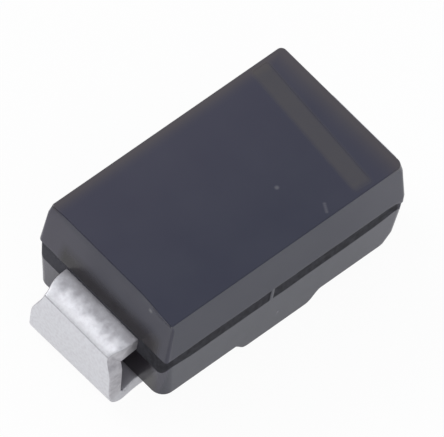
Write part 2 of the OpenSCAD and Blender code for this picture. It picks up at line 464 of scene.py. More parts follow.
def add_piece(bm, name, node, materials):
    """Sets a drawn mesh in place of its solid, with normals that keep its flat faces flat.

    The normals are weighed while the mesh is in millimetres, because in metres its faces are
    too small to weigh.
    """
    bmesh.ops.remove_doubles(bm, verts=bm.verts, dist=WELD)
    bmesh.ops.recalc_face_normals(bm, faces=bm.faces)
    drawn = bpy.data.meshes.new(name)
    for material in materials:
        drawn.materials.append(material)
    bm.to_mesh(drawn)
    bm.free()
    drawn.shade_smooth()
    drawn.set_sharp_from_angle(angle=SHARP_BEND)
    piece = bpy.data.objects.new(name, drawn)
    bpy.context.scene.collection.objects.link(piece)
    even = piece.modifiers.new("Even shading", "WEIGHTED_NORMAL")
    even.keep_sharp = True
    weighed = piece.evaluated_get(bpy.context.evaluated_depsgraph_get())
    mesh = bpy.data.meshes.new_from_object(weighed)
    piece.modifiers.clear()
    piece.data = mesh
    bpy.data.meshes.remove(drawn)
    mesh.name = name
    mesh.transform(Matrix.Scale(MM, 4))
    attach(piece, "root")
    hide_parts(node)


# Moulded body


def corner_radius(outline, point):
    """Radius of the corner in the quarter that a point is in."""
    return outline.corner*outline.corners[-1 if point.x < 0 else 1, -1 if point.y < 0 else 1]


def fit_to(vert, old, new):
    """Moves a vertex of one rounded outline to its place on the next."""
    corner_before = corner_radius(old, vert.co)
    corner_after = corner_radius(new, vert.co)
    for axis, before, after in ((0, old.length, new.length), (1, old.width, new.width)):
        flat_before = before/2 - corner_before
        flat_after = after/2 - corner_after
        reach = abs(vert.co[axis])
        if reach <= flat_before:
            reach *= flat_after/flat_before
        else:
            reach = flat_after + (reach - flat_before)*corner_after/corner_before
        vert.co[axis] = math.copysign(reach, vert.co[axis])
    vert.co.z = new.z


def stations(half, count, extra=()):
    """Even places from -half to half, without the ends, and some places of their own."""
    even = [half*(2*i/count - 1) for i in range(1, count)]
    kept = [x for x in even if all(abs(x - y) > half/count for y in extra)]
    return sorted(kept + list(extra))


def start_plate(bm, outline, along, across):
    """A flat face with rounded corners, with vertices on its sides at the places given."""
    corners = bmesh.ops.create_grid(bm, x_segments=1, y_segments=1, size=0.5)["verts"]
    bmesh.ops.scale(bm, vec=(outline.length, outline.width, 1), verts=corners)
    bmesh.ops.translate(bm, vec=(0, 0, outline.z), verts=corners)
    for corner in corners:
        bmesh.ops.bevel(
            bm, geom=[corner], offset=corner_radius(outline, corner.co), offset_type="OFFSET",
            segments=CORNER_SEGMENTS, profile=0.5, affect="VERTICES", material=-1,
        )
    cuts = [((x, 0, 0), (1, 0, 0)) for x in along] + [((0, y, 0), (0, 1, 0)) for y in across]
    for point, normal in cuts:
        geom = bm.verts[:] + bm.edges[:]
        bmesh.ops.bisect_plane(bm, geom=geom, dist=NEAR, plane_co=point, plane_no=normal)
    return bm.faces[:]


def between(low, high, share_up, corner, corners):
    """An outline part of the way up from one outline to another, with corners of its own."""
    ends = zip((low.length, low.width, low.z), (high.length, high.width, high.z))
    length, width, z = (start + share_up*(end - start) for start, end in ends)
    return Outline(length, width, corner, corners, z)


def draw_up(bm, faces, old, new):
    """Extrudes the top of the stack to the next outline. Returns the new top."""
    top = press_on(bm, faces, Matrix.Identity(4))
    for vert in {vert for face in top for vert in face.verts}:
        fit_to(vert, old, new)
    return top


def wander(verts, amount):
    """Lets an edge beside the parting band wander a little, as resin flash does."""
    for vert in verts:
        for frequency, share_of in FLASH_WAVES:
            vert.co.z += amount*share_of*noise.noise(vert.co*frequency)


def sag_lip(verts, size):
    """Lets the lip hang lower at the near cathode corner, where flash fills the groove."""
    corner = size.length/2
    for vert in verts:
        ahead = smooth_step(corner - SAG_CORNERS*size.upper_corner, corner, vert.co.x)
        near = smooth_step(SAG_START, 1, -2*vert.co.y/size.width)
        vert.co.z -= size.lip_sag*ahead*near


def dip_rim(verts, size):
    """Lets the lower rim run lower across the ends, where the strips leave.

    Before the corners it runs a little higher.
    """
    side_end = size.length/2 - size.lower_corner
    for vert in verts:
        past = (abs(vert.co.x) - side_end)/size.lower_corner
        vert.co.z += size.rim_lift*swell(LIFT_MIDDLE, LIFT_SPREAD, past)
        vert.co.z -= (size.rim_dip + size.rim_lift)*smooth_step(DIP_START, 1, past)


def pad_places(size):
    """Where along the body the slopes of the raised pad start and end."""
    half = size.pad_length/2
    return [-half - size.pad_slope, -half, half, half + size.pad_slope]


def nib_places(size):
    """Where along the body the slopes of the gate nib start and end."""
    half = size.nib/2
    return [size.nib_x + x for x in (-half - size.nib_side, -half, half, half + size.nib_side)]


def set_pad(bm, size):
    """Cuts the underside into its pad, slopes and ends, and sets the pad down."""
    for x in pad_places(size):
        cut_flat(bm, flat_faces(bm, size.end), (x, 0, 0), (1, 0, 0))
    narrower = (size.end - size.pad)*math.tan(size.lower_side_draft)
    for vert in bm.verts:
        if abs(vert.co.z - size.end) < NEAR and abs(vert.co.x) < size.pad_length/2 + NEAR:
            vert.co.z = size.pad
            vert.co.y -= math.copysign(narrower, vert.co.y)


def swell_nib(bm, verts, size):
    """Draws the gate nib out of the parting band on the near side, in the epoxy of the body's faces."""
    for vert in verts:
        if vert.co.y < 0 and abs(vert.co.x - size.nib_x) < (size.nib + size.nib_side)/2:
            vert.co.y -= size.nib_out
    for face in bm.faces:
        middle = face.calc_center_median()
        if face.material_index == PARTING and middle.y < 0 and abs(middle.x - size.nib_x) < size.nib/2:
            face.material_index = EPOXY


def pull_corner(verts, pull, reach, side):
    """Pulls an outline out of square at its near anode corner, for side -1, or its far one."""
    end = min(vert.co.x for vert in verts)
    edge = max(side*vert.co.y for vert in verts)
    for vert in verts:
        if vert.co.x < end + reach:
            vert.co.x -= pull*(1 - smooth_step(0, reach, edge - side*vert.co.y))


def soften_pad(bm, size):
    """Rounds the bends at the ends of the raised pad's slopes."""
    bends = []
    for edge in bm.edges:
        first, second = (vert.co for vert in edge.verts)
        crosses = abs(first.x - second.x) < NEAR and abs(first.y - second.y) > size.width/2
        if crosses and max(first.z, second.z) < size.end + NEAR:
            bends.append(edge)
    bevel_edges(bm, bends, size.pad_edge, PAD_SEGMENTS)


def top_width(size):
    """Width of the top face."""
    return size.width - 2*(size.top - size.upper_foot)*math.tan(size.side_draft)


def sink_band(bm, size):
    """Cuts the skewed cathode band, with its rounded corners, out of the top face and sinks it."""
    centre = Vector((size.band_x, 0, size.top))
    ahead = Matrix.Rotation(-size.band_skew, 3, "Z") @ Vector((1, 0, 0))
    beside = Vector((0, 1, 0))
    half_width = size.band_width/2
    end = top_width(size)/2 - size.band_margin
    for side in (-1, 1):
        cut_flat(bm, flat_faces(bm, size.top), centre + ahead*side*half_width, ahead)
        cut_flat(bm, flat_faces(bm, size.top), Vector((0, side*end, 0)), beside)

    def band_face():
        return min(flat_faces(bm, size.top), key=lambda face: (face.calc_center_median() - centre).length)

    for corner in band_face().verts[:]:
        inward_x = math.copysign(1, (centre - corner.co).dot(ahead))
        inward_y = -math.copysign(1, corner.co.y)
        middle = corner.co + Vector((inward_x, inward_y, 0))*size.band_corner
        for step in range(BAND_CORNER_CUTS):
            turned = (step + 0.5)/BAND_CORNER_CUTS*math.pi/2
            outward = Vector((-inward_x*math.cos(turned), -inward_y*math.sin(turned), 0))
            cut_flat(bm, [band_face()], middle + outward*size.band_corner, outward)
    press_on(bm, [band_face()], Matrix.Translation((0, 0, -size.band_depth)))


def body_outlines(size):
    """The outlines that the body is drawn up through, from its underside to its top face."""
    lower_height = size.lower_rim - size.end
    upper_height = size.top - size.upper_foot
    lower_length = size.length - 2*size.lower_setback
    lower_width = size.width - 2*size.lower_setback
    bottom_length = lower_length - 2*lower_height*math.tan(size.lower_end_draft)
    bottom_width = lower_width - 2*lower_height*math.tan(size.lower_side_draft)
    groove_length = size.length - 2*size.recess
    groove_width = size.width - 2*size.recess
    top_length = size.length - 2*upper_height*math.tan(size.end_draft)
    bottom = Outline(bottom_length, bottom_width, size.lower_corner, BOTTOM_CORNERS, size.end)
    rim = Outline(lower_length, lower_width, size.lower_corner, RIM_CORNERS, size.lower_rim)
    lip = Outline(size.length, size.width, size.upper_corner, LIP_CORNERS, size.upper_foot)
    crown = Outline(top_length, top_width(size), size.top_corner, CROWN_CORNERS, size.top)
    return {
        "bottom": bottom,
        "belly": between(bottom, rim, size.belly/lower_height, size.lower_corner, BELLY_CORNERS),
        "rim": rim,
        "groove": Outline(groove_length, groove_width, size.lower_corner, PARTING_CORNERS, size.upper_foot),
        "lip": lip,
        "skirt": between(lip, crown, size.skirt/upper_height, size.upper_corner, SKIRT_CORNERS),
        "shoulder": between(crown, lip, size.shoulder/upper_height, size.top_corner, SHOULDER_CORNERS),
        "crown": crown,
    }


def draw_body(bm, size):
    """Draws the body up through its outlines. Returns the edges of each ring over the first, by name."""
    (_, old), *rest = body_outlines(size).items()
    along = stations(old.length/2 - old.corner, SIDE_STATIONS, pad_places(size) + nib_places(size))
    across = stations(old.width/2 - old.corner, END_STATIONS)
    top = start_plate(bm, old, along, across)
    rings = {}
    for name, outline in rest:
        top = draw_up(bm, top, old, outline)
        rings[name] = [edge for face in top for edge in face.edges]
        if name == "groove":
            walls = {face for edge in rings[name] for face in edge.link_faces}.difference(top)
            for face in walls:
                face.material_index = PARTING
        old = outline
    bmesh.ops.recalc_face_normals(bm, faces=bm.faces)
    return rings


def shift_top(bm, verts, size):
    """Leans the upper half towards where its top face is, and pulls its anode corners out of square."""
    upper_height = size.top - size.upper_foot
    heights = {"skirt": size.skirt, "shoulder": upper_height - size.shoulder, "crown": upper_height}
    for name, height in heights.items():
        shift = height/upper_height*Vector((size.ahead, -size.nearer, 0))
        bmesh.ops.translate(bm, vec=shift, verts=list(verts[name]))
    pull_corner(verts["crown"], size.corner_pull, size.corner_reach, -1)
    pull_corner(verts["crown"], size.far_pull, size.far_reach, 1)
    pull_corner(verts["shoulder"], size.far_bulge, size.far_reach, 1)


def round_body(bm, rings, size):
    """Rounds the edges of the underside, those beside the parting band and the rim of the top face."""
    under = []
    for edge in bm.edges:
        highest = max(vert.co.z for vert in edge.verts)
        if highest < size.end + NEAR and edge.calc_face_angle(0) > UNDERSIDE_BEND:
            under.append(edge)
    bevel_edges(bm, under, size.bottom_edge)
    beside_parting = [edge for edge in rings["rim"] + rings["lip"] if edge.is_valid]
    bevel_edges(bm, beside_parting, size.lip_edge, LIP_SEGMENTS)
    top_rim = [edge for edge in rings["crown"] if edge.is_valid]
    bevel_edges(bm, top_rim, size.top_edge, TOP_SEGMENTS)


def body_mesh(size):
    """The moulded body: two drafted halves with a parting band between them, the pad and the band."""
    bm = bmesh.new()
    rings = draw_body(bm, size)
    set_pad(bm, size)
    verts = {name: {vert for edge in edges for vert in edge.verts} for name, edges in rings.items()}
    shift_top(bm, verts, size)
    swell_nib(bm, verts["groove"], size)
    wander(verts["rim"], size.flash)
    wander(verts["lip"], size.flash)
    sag_lip(verts["groove"] | verts["lip"], size)
    dip_rim(verts["rim"], size)
    soften_pad(bm, size)
    round_body(bm, rings, size)
    sink_band(bm, size)
    return bm


# Terminals


def sum_reach(heading, steps):
    """How far steps of a length and a turn go outwards."""
    reach = 0
    for length, bend in steps:
        reach += length*math.cos(heading + bend/2)
        heading += bend
    return reach


def bent_rings(size):
    """The rings of a strip's upper bend on the +X side, from the body to its upright outer face.

    The outer line is walked in steps that each have a length and a turn. The rings lean ahead of
    the crease and behind it, so that the inside of the bend stays round.
    """
    quarter = math.pi/2
    turned = quarter - size.flare_start
    upright = size.flare + size.slope + size.crease*(size.flare_start - size.slope_end)
    turn = size.slope_end - size.slope_start
    tilts = [size.slope_start + turn*(step/SLOPE_STEPS)**SLOPE_POWER for step in range(SLOPE_STEPS + 1)]
    steps = [(size.slope/SLOPE_STEPS, after - before) for before, after in zip(tilts, tilts[1:])]
    bend = (size.flare_start - size.slope_end)/CREASE_STEPS
    steps += [(size.crease*bend, bend)]*CREASE_STEPS
    steps += [(size.flare/FLARE_STEPS, turned/FLARE_STEPS)]*FLARE_STEPS

    heading = size.slope_start
    outer = Vector((size.outer - sum_reach(heading, steps), 0, size.height + size.rise))
    walked = 0
    for length, bend in steps:
        heading += bend/2
        outer = outer + length*Vector((math.cos(heading), 0, -math.sin(heading)))
        heading += bend/2
        walked += length
        lean = quarter*smooth_step(0, upright, walked) if walked < upright else heading
        inward = Vector((-math.sin(lean), 0, -math.cos(lean)))
        yield Ring(outer, outer + inward*size.thickness/math.cos(lean - heading), walked - size.slope)


def fold_rings(size, start):
    """The rings round the lower fold, for an outer face that comes down to it from the ring given.

    The outside and the inside turn about centres of their own, so that the fold can be tighter
    than the strip is thick.
    """
    outer_x = size.outer - size.tuck
    outer_middle = Vector((outer_x - size.lower_fold, 0, size.lower_fold))
    inner_z = size.thickness - size.pinch + size.inner_fold
    inner_middle = Vector((outer_x - size.thickness - size.inner_fold, 0, inner_z))
    along = start.along + start.outer.z - size.lower_fold
    for step in range(FOLD_STEPS + 1):
        turned = math.pi/2*step/FOLD_STEPS
        outward = Vector((math.cos(turned), 0, -math.sin(turned)))
        outer = outer_middle + outward*size.lower_fold
        inner = inner_middle + outward*size.inner_fold
        yield Ring(outer, inner, along + turned*size.lower_fold)


def run_rings(first, last):
    """Even rings between two."""
    for step in range(1, RUN_STEPS):
        share_done = step/RUN_STEPS
        outer = first.outer.lerp(last.outer, share_done)
        inner = first.inner.lerp(last.inner, share_done)
        yield Ring(outer, inner, first.along + share_done*(last.along - first.along))


def strip_rings(size, level):
    """All rings of a strip on the +X side, from its end over the chip, for level 1, or under it, for -1."""
    down = Vector((0, 0, -size.thickness))
    chip_z = size.height + level*(size.chip_level - size.height)
    bent = list(bent_rings(size))
    leave = bent[0].outer.x - size.slope/SLOPE_STEPS
    places = (
        (-size.inner_tip, chip_z),
        (size.step_start, chip_z),
        (size.step_end, size.height),
        (leave, size.height + size.rise),
    )
    inside = [Ring(Vector((x, 0, z)), Vector((x, 0, z)) + down, x - leave - size.slope) for x, z in places]
    fold = list(fold_rings(size, bent[-1]))
    tip = Vector((size.outer - size.foot, 0, 0))
    full = fold[-1].outer - Vector((size.pinch_run, 0, 0))
    foot_start = Ring(full, full - down, fold[-1].along + size.pinch_run)
    foot_end = Ring(tip, tip - down, foot_start.along + (full - tip).length)
    leg = run_rings(bent[-1], fold[0])
    foot = run_rings(foot_start, foot_end)
    return [*inside, *bent, *leg, *fold, foot_start, *foot, foot_end]


def strip_layers(bm):
    """The layers of a strip's mesh."""
    return [bm.verts.layers.float[name] for name in STRIP_LAYERS]


def start_section(bm):
    """The strip's inner end: a grid that knows how far across and how far out each vertex is."""
    for name in STRIP_LAYERS:
        bm.verts.layers.float.new(name)
    across, outward, _ = strip_layers(bm)
    grid = bmesh.ops.create_grid(bm, x_segments=STRIP_ACROSS, y_segments=STRIP_THROUGH, size=0.5)
    for vert in grid["verts"]:
        vert[across] = 2*vert.co.x
        vert[outward] = vert.co.y + 0.5
    return bm.faces[:]


def set_ring(bm, faces, ring, width):
    """Sets the strip's end on a ring."""
    across, outward, along = strip_layers(bm)
    for vert in {vert for face in faces for vert in face.verts}:
        vert.co = ring.inner.lerp(ring.outer, vert[outward])
        vert.co.y = vert[across]*width/2
        vert[along] = ring.along


def draw_in(bm, size, fold_end):
    """Draws the strip's edges in at its upper end, most at the crease.

    At the lower fold they are squeezed out, and the fold's near end stands back.
    """
    across, outward, along = strip_layers(bm)
    for vert in bm.verts:
        far = vert[across] > 0
        past = vert[along]*size.far_ease if far and vert[along] > 0 else vert[along]
        pull = size.neck_pull*(1 - smooth_step(0, size.flare, past))
        pull += size.crease_pull*swell(0, size.crease_reach, past)*vert[outward]
        start = size.far_swelling if far else size.near_swelling
        out = smooth_step(start, start + size.swelling_run, vert[along])
        out -= smooth_step(fold_end, fold_end + size.swelling_run, vert[along])
        vert.co.y += vert[across]*(size.swelling*out*vert[outward] - pull)
        vert.co.x -= size.skew*(1 - vert[across])/2*smooth_step(0, fold_end, vert[along])


def round_edges(bm, size):
    """Rounds the strip's four long edges and the edges of its two ends."""
    across, outward, along = strip_layers(bm)
    places = [vert[along] for vert in bm.verts]
    ends = (min(places), max(places))
    edges = []
    for edge in bm.edges:
        first, second = edge.verts
        runs_along = abs(first[along] - second[along]) > NEAR
        at_corner = all(
            abs(vert[across]) > 1 - NEAR and abs(vert[outward] - 0.5) > 0.5 - NEAR for vert in edge.verts
        )
        at_end = any(abs(first[along] - end) < NEAR for end in ends)
        if runs_along and at_corner:
            edges.append(edge)
        elif not runs_along and at_end and edge.calc_face_angle(0) > STRIP_END_BEND:
            edges.append(edge)
    bevel_edges(bm, edges, size.edge)


def terminal_mesh(size, level, side):
    """A folded terminal, drawn on the +X side and turned over to its own side.

    Level is 1 over the chip and -1 under it. The along layer counts millimetres along the outside
    of the strip, from 0 at the crease.
    """
    bm = bmesh.new()
    end = start_section(bm)
    first, *rest = strip_rings(size, level)
    set_ring(bm, end, first, size.width)
    for ring in rest:
        end = press_on(bm, end, Matrix.Identity(4))
        set_ring(bm, end, ring, size.width)
    fold_end = next(ring.along for ring in rest if ring.along > 0 and ring.outer.z < NEAR)
    draw_in(bm, size, fold_end)
    bmesh.ops.recalc_face_normals(bm, faces=bm.faces)
    round_edges(bm, size)
    bm.normal_update()
    for face in bm.faces:
        face.material_index = SHEARED if abs(face.normal.y) > SIDE_FACING else ROLLED
    bmesh.ops.scale(bm, vec=(side, 1, 1), verts=bm.verts)
    return bm


# Materials


def add_node(tree, kind, sockets=None, **settings):
    """Adds a node, with its settings, and links or sets the sockets given."""
    made = tree.nodes.new(kind)
    for name, value in settings.items():
        setattr(made, name, value)
    for name, value in (sockets or {}).items():
        if isinstance(value, bpy.types.NodeSocket):
            tree.links.new(value, made.inputs[name])
        else:
            made.inputs[name].default_value = value
    return made


def new_material(name):
    """A material with an empty node tree."""
    material = bpy.data.materials.new(name)
    material.use_nodes = True
    material.node_tree.nodes.clear()
    return material, material.node_tree


def with_alpha(rgb):
    """A colour as a socket takes it."""
    return (*rgb, 1)


def toned(rgb, factor):
    """A colour made darker or lighter."""
    return tuple(factor*value for value in rgb)


def object_place(tree):
    """A point of the piece, on the piece's own coordinates."""
    return add_node(tree, "ShaderNodeTexCoord").outputs["Object"]


def coordinates(tree):
    """The three coordinates of a point of the piece."""
    return add_node(tree, "ShaderNodeSeparateXYZ", {"Vector": object_place(tree)}).outputs


def strip_place(tree, name):
    """Where a point of a strip is, by one of the layers that its mesh carries."""
    return add_node(tree, "ShaderNodeAttribute", attribute_name=name).outputs["Fac"]


def spread(tree, value, low, high, to_low, to_high, **settings):
    """A value stretched from one range to another and held within it."""
    sockets = {"Value": value, "From Min": low, "From Max": high, "To Min": to_low, "To Max": to_high}
    return add_node(tree, "ShaderNodeMapRange", sockets, **settings).outputs["Result"]


def follow(tree, at, ramp):
    """A ramp's value at a point."""
    return spread(tree, at[ramp.axis], ramp.low*MM, ramp.high*MM, ramp.start, ramp.end)


def reckon(tree, operation, *values):
    """The result of one sum on numbers or sockets."""
    return add_node(tree, "ShaderNodeMath", dict(enumerate(values)), operation=operation).outputs["Value"]


def gather(tree, operation, total, *others):
    """The result of one sum carried through several sockets."""
    for value in others:
        total = reckon(tree, operation, total, value)
    return total


def grain(tree, size, detail=2):
    """Noise whose grains are about that many millimetres across."""
    sockets = {"Vector": object_place(tree), "Scale": 1/(size*MM), "Detail": detail}
    return add_node(tree, "ShaderNodeTexNoise", sockets).outputs["Fac"]


def wandering(tree, size, low, high, detail=2):
    """A value that wanders between two, over grains of that size."""
    return spread(tree, grain(tree, size, detail), *WANDER_SPAN, low, high)


def patches(tree, size, detail=2, noise_span=PATCH_SPAN):
    """Soft patches of that size, from 0 to 1."""
    return spread(tree, grain(tree, size, detail), *noise_span, 0, 1)


def blend(tree, factor, first, second, how="MIX"):
    """A colour between two, by a factor, or with the second added to the first."""
    sockets = {"Factor": factor}
    for socket, value in ((MIX_FIRST, first), (MIX_SECOND, second)):
        sockets[socket] = value if isinstance(value, bpy.types.NodeSocket) else with_alpha(value)
    return add_node(tree, "ShaderNodeMix", sockets, data_type="RGBA", blend_type=how).outputs[MIX_RESULT]


def bump(tree, height, depth, strength):
    """A bump of that many millimetres."""
    sockets = {"Height": height, "Distance": depth*MM, "Strength": strength}
    return add_node(tree, "ShaderNodeBump", sockets).outputs["Normal"]


def surface(tree, sockets):
    """The shader and the output that end a material."""
    shader = add_node(tree, "ShaderNodeBsdfPrincipled", sockets)
    add_node(tree, "ShaderNodeOutputMaterial", {"Surface": shader.outputs["BSDF"]})


def dust_mask(tree, finish):
    """How thick the dust lies: the specks, and the short dash by the near rim of the top face."""
    specks = [(getattr(finish, name), radius, thickness) for name, radius, thickness in DUST_SPECKS]
    for step in DASH_STEPS:
        centre = Vector(finish.rim_dust) + step*MM*Vector(DASH_HALF)
        specks.append((centre, DASH_RADIUS, DASH_THICKNESS))
    point = object_place(tree)
    spots = []
    for centre, radius, thickness in specks:
        away = add_node(tree, "ShaderNodeVectorMath", {0: point, 1: centre}, operation="DISTANCE")
        spots.append(spread(tree, away.outputs["Value"], DUST_CORE*radius*MM, radius*MM, thickness, 0))
    return gather(tree, "MAXIMUM", *spots)


def on_anode_end(tree, at):
    """Whether a point lies on the anode end, below the rim of the top face."""
    return reckon(tree, "MULTIPLY", follow(tree, at, END_OUTSIDE), follow(tree, at, END_BELOW_RIM))


def painted_light_mask(tree):
    """How much painted light pales the epoxy.

    It pales slowly to the far side and the cathode end, and more low on that end and on the anode end.
    """
    at = coordinates(tree)
    far = follow(tree, at, LIGHT_FAR)
    ahead = follow(tree, at, LIGHT_AHEAD)
    low = follow(tree, at, LOWER_HALF)
    low_ahead = reckon(tree, "MULTIPLY", low, follow(tree, at, LIGHT_LOWER_AHEAD))
    end_light = reckon(tree, "MULTIPLY_ADD", low, LIGHT_LOWER_END, follow(tree, at, LIGHT_END))
    on_end = reckon(tree, "MULTIPLY", on_anode_end(tree, at), end_light)
    return gather(tree, "MAXIMUM", far, ahead, low_ahead, on_end)


def painted_end_shade_mask(tree):
    """How much painted shade darkens the anode end over the strip, where the end face mirrors the strip."""
    at = coordinates(tree)
    aside = reckon(tree, "ABSOLUTE", reckon(tree, "SUBTRACT", at["Y"], END_SHADE_MIDDLE*MM))
    beside = spread(tree, aside, END_SHADE_FULL*MM, END_SHADE_GONE*MM, 1, 0)
    return gather(tree, "MULTIPLY", on_anode_end(tree, at), follow(tree, at, END_SHADE_HEIGHT), beside)


def rim_highlight_mask(tree):
    """How much painted highlight, in a brown tone, lies along the far rim and the cathode rim of the top
    face.
    """
    at = coordinates(tree)
    nearest = reckon(tree, "MAXIMUM", follow(tree, at, RIM_END), follow(tree, at, RIM_SIDE))
    return reckon(tree, "MULTIPLY", reckon(tree, "POWER", nearest, 2), follow(tree, at, RIM_TOP))


def band_mask(tree, size):
    """How strong the cathode band is, with soft edges and softer ends."""
    centred = add_node(tree, "ShaderNodeMapping", {
        "Vector": object_place(tree),
        "Location": (size.band_x*MM, 0, 0),
        "Rotation": (0, 0, -size.band_skew),
    }, vector_type="TEXTURE").outputs["Vector"]
    at = add_node(tree, "ShaderNodeSeparateXYZ", {"Vector": centred}).outputs
    inside = spread(tree, at["Z"], (size.top - BAND_GONE)*MM, (size.top - BAND_FULL)*MM, 0, 1)
    for axis, half, fade in (
        ("X", size.band_width/2, size.band_fade),
        ("Y", top_width(size)/2 - size.band_margin, size.band_end_fade),
    ):
        reach = reckon(tree, "ABSOLUTE", at[axis])
        within = spread(tree, reach, (half - fade/2)*MM, (half + fade/2)*MM, 1, 0)
        inside = reckon(tree, "MULTIPLY", inside, within)
    return reckon(tree, "MULTIPLY", inside, wandering(tree, 0.12, low=0.85, high=1, detail=4))


def epoxy_material(finish, size):
    """Satin moulded epoxy: fine grain, slow tones, painted light and shade, the cathode band and some dust.
    """
    material, tree = new_material("moulded_epoxy")
    tone = blend(tree, patches(tree, 0.9), finish.epoxy_dark, finish.epoxy_light)
    # Painted light towards the far side and the ends
    tone = blend(tree, painted_light_mask(tree), tone, finish.painted_light)
    # Painted shade on the anode end over the strip
    tone = blend(tree, painted_end_shade_mask(tree), tone, finish.painted_end_shade)
    band = band_mask(tree, size)
    tone = blend(tree, band, tone, finish.mark)
    # Painted highlight along the far rims of the top face
    tone = blend(tree, rim_highlight_mask(tree), tone, finish.rim, "ADD")
    satin = wandering(tree, 0.25, low=0.18, high=0.24)
    surface(tree, {
        "Base Color": blend(tree, dust_mask(tree, finish), tone, finish.dust),
        "Roughness": reckon(tree, "MULTIPLY_ADD", band, 0.2, satin),
        "IOR": 1.52,
        "Normal": bump(tree, grain(tree, 0.018), depth=0.002, strength=0.25),
    })
    return material


def parting_material(finish):
    """Bare torn epoxy in the parting band: matte and dark, with painted light on the anode end and painted
    reflection where flash fills it.
    """
    material, tree = new_material("parting_epoxy")
    at = coordinates(tree)
    tone = blend(tree, patches(tree, 0.08), finish.parting, toned(finish.parting, PARTING_DEEP))
    # Painted light: the band is paler on the anode end, away from the near corner
    pale = reckon(tree, "MULTIPLY", follow(tree, at, LIT_END), follow(tree, at, LIT_FAR))
    tone = blend(tree, pale, tone, toned(finish.parting, PARTING_LIT))
    # Painted reflection: a paler tone where flash fills the band, standing in for the epoxy's sheen
    filled_reflection = reckon(tree, "MULTIPLY", follow(tree, at, FILLED_AHEAD), follow(tree, at, FILLED_NEAR))
    surface(tree, {
        "Base Color": blend(tree, filled_reflection, tone, toned(finish.parting, PARTING_FILLED_REFLECTION)),
        "Roughness": wandering(tree, 0.05, low=0.62, high=0.8),
        "Specular IOR Level": 0.2,
        "Normal": bump(tree, grain(tree, 0.03), depth=0.006, strength=0.6),
    })
    return material


def rolled_tin_material(finish):
    """Matte tin on the strip's flat sides.

    It is frosted between the body and the crease, with painted shade beside the body, smoother beyond it, and
    has painted shade inside the folds.
    """
    material, tree = new_material("rolled_tin")
    ragged = wandering(tree, 0.14, low=-RAGGED, high=RAGGED, detail=3)
    along = reckon(tree, "ADD", strip_place(tree, "along"), ragged)
    inside = spread(tree, strip_place(tree, "outward"), *INSIDE_SPAN, INSIDE_FROST, 0)
    frost = reckon(tree, "MAXIMUM", spread(tree, along, *FROST_SPAN, 1, 0), inside)
    smooth = wandering(tree, 0.12, low=0.30, high=0.36)
    tone = blend(tree, patches(tree, 0.05, 3, TIN_PATCH_SPAN), finish.tin_dull, finish.tin)
    # Painted shade beside the body
    tone = blend(tree, spread(tree, along, *ROOT_SHADE_SPAN, 1, 0), tone, finish.tin_root)
    aside = reckon(tree, "ABSOLUTE", strip_place(tree, "across"))
    # Painted shade inside the folds, lighter towards the strip's edges
    inside_shade = reckon(tree, "MULTIPLY", inside, spread(tree, aside, *EDGE_SPAN, INSIDE_SHADE_MIDDLE, INSIDE_SHADE_EDGE))
    surface(tree, {
        "Base Color": blend(tree, inside_shade, tone, finish.tin_inside),
        "Metallic": 1.0,
        "Roughness": reckon(tree, "MULTIPLY_ADD", frost, 0.48, smooth),
        "Normal": bump(tree, grain(tree, 0.03), depth=0.004, strength=spread(tree, frost, 0, 1, 0.12, 0.6)),
    })
    return material


def sheared_tin_material(finish):
    """Tin over the strip's sheared sides: duller and rougher, with painted shade down them beside the body.
    """
    material, tree = new_material("sheared_tin")
    tone = blend(tree, patches(tree, 0.08, 3, SHEARED_PATCH_SPAN), finish.sheared_dull, finish.sheared)
    along = strip_place(tree, "along")
    tone = blend(tree, spread(tree, along, *BRIGHT_SPAN, 0, 0.65), tone, finish.tin)
    slanted = reckon(tree, "MULTIPLY_ADD", strip_place(tree, "outward"), SIDE_SHADE_SLANT, along)
    surface(tree, {
        # Painted shade beside the body, slanting through the strip
        "Base Color": blend(tree, spread(tree, slanted, *SIDE_SHADE_SPAN, 1, 0), tone, finish.tin_root),
        "Metallic": 1.0,
        "Roughness": wandering(tree, 0.06, low=0.45, high=0.58),
        "Normal": bump(tree, grain(tree, 0.05, 3), depth=0.008, strength=0.5),
    })
    return material


def silicon_material(finish):
    """Diced silicon: grey, mottled and finely rough."""
    material, tree = new_material("diced_silicon")
    pale = toned(finish.silicon, SILICON_PALE)
    surface(tree, {
        "Base Color": blend(tree, patches(tree, 0.2), finish.silicon, pale),
        "Roughness": wandering(tree, 0.04, low=0.25, high=0.45),
        "Normal": bump(tree, grain(tree, 0.02), depth=0.002, strength=0.4),
    })
    return material


def solder_material(finish):
    """Dull solder that has set unevenly."""
    material, tree = new_material("dull_solder")
    dull = toned(finish.solder, SOLDER_DULL)
    surface(tree, {
        "Base Color": blend(tree, patches(tree, 0.1), dull, finish.solder),
        "Metallic": 1.0,
        "Roughness": wandering(tree, 0.05, low=0.4, high=0.55),
        "Normal": bump(tree, grain(tree, 0.05), depth=0.004, strength=0.4),
    })
    return material


# Stage


def floor_material(stage):
    """A white floor that the camera and reflections see as white, and that keeps the part's shadow."""
    material, tree = new_material("white_floor")
    paths = add_node(tree, "ShaderNodeLightPath").outputs
    mirrored = reckon(tree, "MAXIMUM", paths["Is Glossy Ray"], paths["Is Transmission Ray"])
    mirrored = reckon(tree, "MULTIPLY", mirrored, stage.mirrored)
    seen = reckon(tree, "MULTIPLY_ADD", paths["Is Camera Ray"], stage.white, mirrored)
    matte = add_node(tree, "ShaderNodeBsdfDiffuse", {"Color": with_alpha(FLOOR_COLOUR)})
    white = add_node(tree, "ShaderNodeEmission", {"Color": with_alpha(WHITE), "Strength": 1.0})
    mixed = add_node(tree, "ShaderNodeMixShader", {0: seen, 1: matte.outputs[0], 2: white.outputs[0]})
    add_node(tree, "ShaderNodeOutputMaterial", {"Surface": mixed.outputs[0]})
    return material


